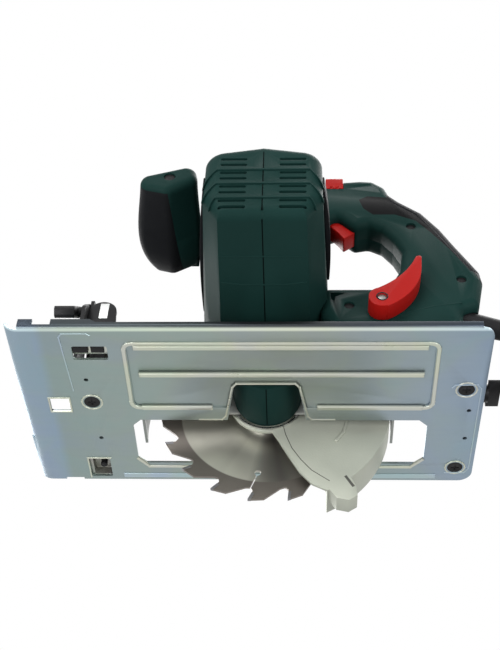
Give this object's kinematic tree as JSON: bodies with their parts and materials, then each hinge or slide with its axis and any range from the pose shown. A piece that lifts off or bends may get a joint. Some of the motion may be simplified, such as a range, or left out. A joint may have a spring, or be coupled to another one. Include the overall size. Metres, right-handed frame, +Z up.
{
  "type": "circular saw",
  "caption": "Hand-held circular saw with pressed sole plate, retracting blade guard, bevel and depth clamps, closed rear handle, front handle and mains cord.",
  "frame": {"origin": "on the underside of the sole, at its guide edge, below the blade spindle", "axes": "+X to the rear of the saw, +Y from the motor to the blade, +Z up"},
  "size_m": [0.4898, 0.2598, 0.2382],
  "materials": {
    "zinc_steel": "bright zinc plating with a yellow-green tint",
    "bracket_steel": "zinc plated, satin",
    "screw_steel": "satin",
    "black_steel": "black, satin",
    "scale_aluminium": "matt",
    "housing_green": "dark green, fine grain",
    "soft_grip": "near black, soft touch",
    "black_plastic": "black, satin",
    "red_plastic": "red, semi-gloss",
    "fan_plastic": "grey",
    "guard_aluminium": "light grey, sand-cast texture",
    "blade_steel": "ground, duller near the teeth",
    "carbide": "ground",
    "gear_steel": "ground",
    "bearing_steel": "polished",
    "lamination_steel": "varnished laminations",
    "copper_winding": "enamelled copper",
    "carbon": "carbon",
    "brass_holder": "satin",
    "brass_pin": "nickel plated brass",
    "cord_rubber": "black, matt"
  },
  "bodies": {
    "base": {"base_plate": "zinc_steel", "plate_screws": "screw_steel", "front_bracket": "bracket_steel", "bevel_scale": "scale_aluminium", "rear_bracket": "bracket_steel", "fence_guide": "black_steel", "fence_block": "black_steel"},
    "fence_screw": {"fence_knob": "black_plastic"},
    "tilt_frame": {"front_trunnion": "bracket_steel", "depth_arc": "bracket_steel", "bevel_pins": "screw_steel", "bevel_nut": "screw_steel", "depth_pin": "screw_steel"},
    "front_bevel_clamp": {"bevel_lever": "black_plastic"},
    "rear_bevel_clamp": {"rear_wing_knob": "black_plastic"},
    "saw": {"housing_front": "housing_green", "housing_rear": "housing_green", "side_trim_front": "soft_grip", "side_trim_rear": "soft_grip", "bearings": "bearing_steel", "stator": "lamination_steel", "field_coils": "copper_winding", "brushes": "carbon", "brush_holders": "brass_holder", "upper_guard": "guard_aluminium", "guard_screws": "screw_steel", "guard_spring": "screw_steel", "grip_pad": "soft_grip", "handle_near": "housing_green", "handle_far": "housing_green", "handle_screws": "screw_steel", "switch_box": "black_plastic", "depth_bolt": "screw_steel", "aux_core": "housing_green", "aux_grip": "soft_grip", "aux_screw": "screw_steel", "cord_sleeve": "cord_rubber", "supply_cord": "cord_rubber", "cord_coil": "cord_rubber", "cord_tie": "black_plastic", "cord_plug": "cord_rubber", "plug_pins": "brass_pin"},
    "blade_spindle": {"drive_gear": "gear_steel", "spindle": "gear_steel", "inner_flange": "screw_steel", "outer_flange": "screw_steel", "blade_bolt": "screw_steel", "blade": "blade_steel", "carbide_tips": "carbide"},
    "rotor": {"armature": "lamination_steel", "fan": "fan_plastic", "pinion": "gear_steel"},
    "lower_guard_body": {"lower_guard": "guard_aluminium"},
    "trigger_lever": {"trigger": "red_plastic"},
    "button": {"lock_off_button": "red_plastic"},
    "depth_clamp": {"depth_lever": "red_plastic"},
    "lock_button": {"spindle_lock": "black_plastic"}
  },
  "joints": [
    {"name": "bevel_tilt", "type": "hinge", "parent": "base", "child": "tilt_frame", "pos_m": [0, 0.103, 0.0075], "axis": [-1, 0, 0], "range_deg": [0, 45]},
    {"name": "depth_swing", "type": "hinge", "parent": "tilt_frame", "child": "saw", "pos_m": [-0.112, 0.081, 0.04], "axis": [0, -1, 0], "range_deg": [0, 25]},
    {"name": "front_clamp_turn", "type": "hinge", "parent": "tilt_frame", "child": "front_bevel_clamp", "pos_m": [-0.146, 0.0504, 0.06909], "axis": [1, 0, 0], "range_deg": [0, 90]},
    {"name": "rear_clamp_turn", "type": "hinge", "parent": "tilt_frame", "child": "rear_bevel_clamp", "pos_m": [0.156, 0.07569, 0.01212], "axis": [1, 0, 0], "range_deg": [0, 90]},
    {"name": "fence_screw_turn", "type": "hinge", "parent": "base", "child": "fence_screw", "pos_m": [-0.124, 0.1455, 0.014], "axis": [0, 0, 1], "range_deg": [0, 360]},
    {"name": "blade_spin", "type": "hinge", "parent": "saw", "child": "blade_spindle", "pos_m": [0, 0.1129, 0.025], "axis": [0, 1, 0], "continuous": true},
    {"name": "motor_spin", "type": "hinge", "parent": "saw", "child": "rotor", "pos_m": [0, 0, 0.05], "axis": [0, 1, 0], "continuous": true},
    {"name": "guard_swing", "type": "hinge", "parent": "saw", "child": "lower_guard_body", "pos_m": [0, 0.102, 0.025], "axis": [0, 1, 0], "range_deg": [-40, 100]},
    {"name": "trigger_press", "type": "slide", "parent": "saw", "child": "trigger_lever", "axis": [0.7741, 0, 0.6331], "range_m": [0, 0.006], "stiffness_N_per_m": 1200},
    {"name": "lock_off_press", "type": "slide", "parent": "saw", "child": "button", "axis": [0, 1, 0], "range_m": [0, 0.004], "stiffness_N_per_m": 1500},
    {"name": "spindle_lock_press", "type": "slide", "parent": "saw", "child": "lock_button", "axis": [1, 0, 0], "range_m": [0, 0.004], "stiffness_N_per_m": 1500},
    {"name": "depth_lever_turn", "type": "hinge", "parent": "saw", "child": "depth_clamp", "pos_m": [0.0785, 0.003, 0.0274], "axis": [0, 1, 0], "range_deg": [0, 45]}
  ],
  "couplings": [
    {"joint": "motor_spin", "follows": "blade_spin", "ratio": -4}
  ]
}
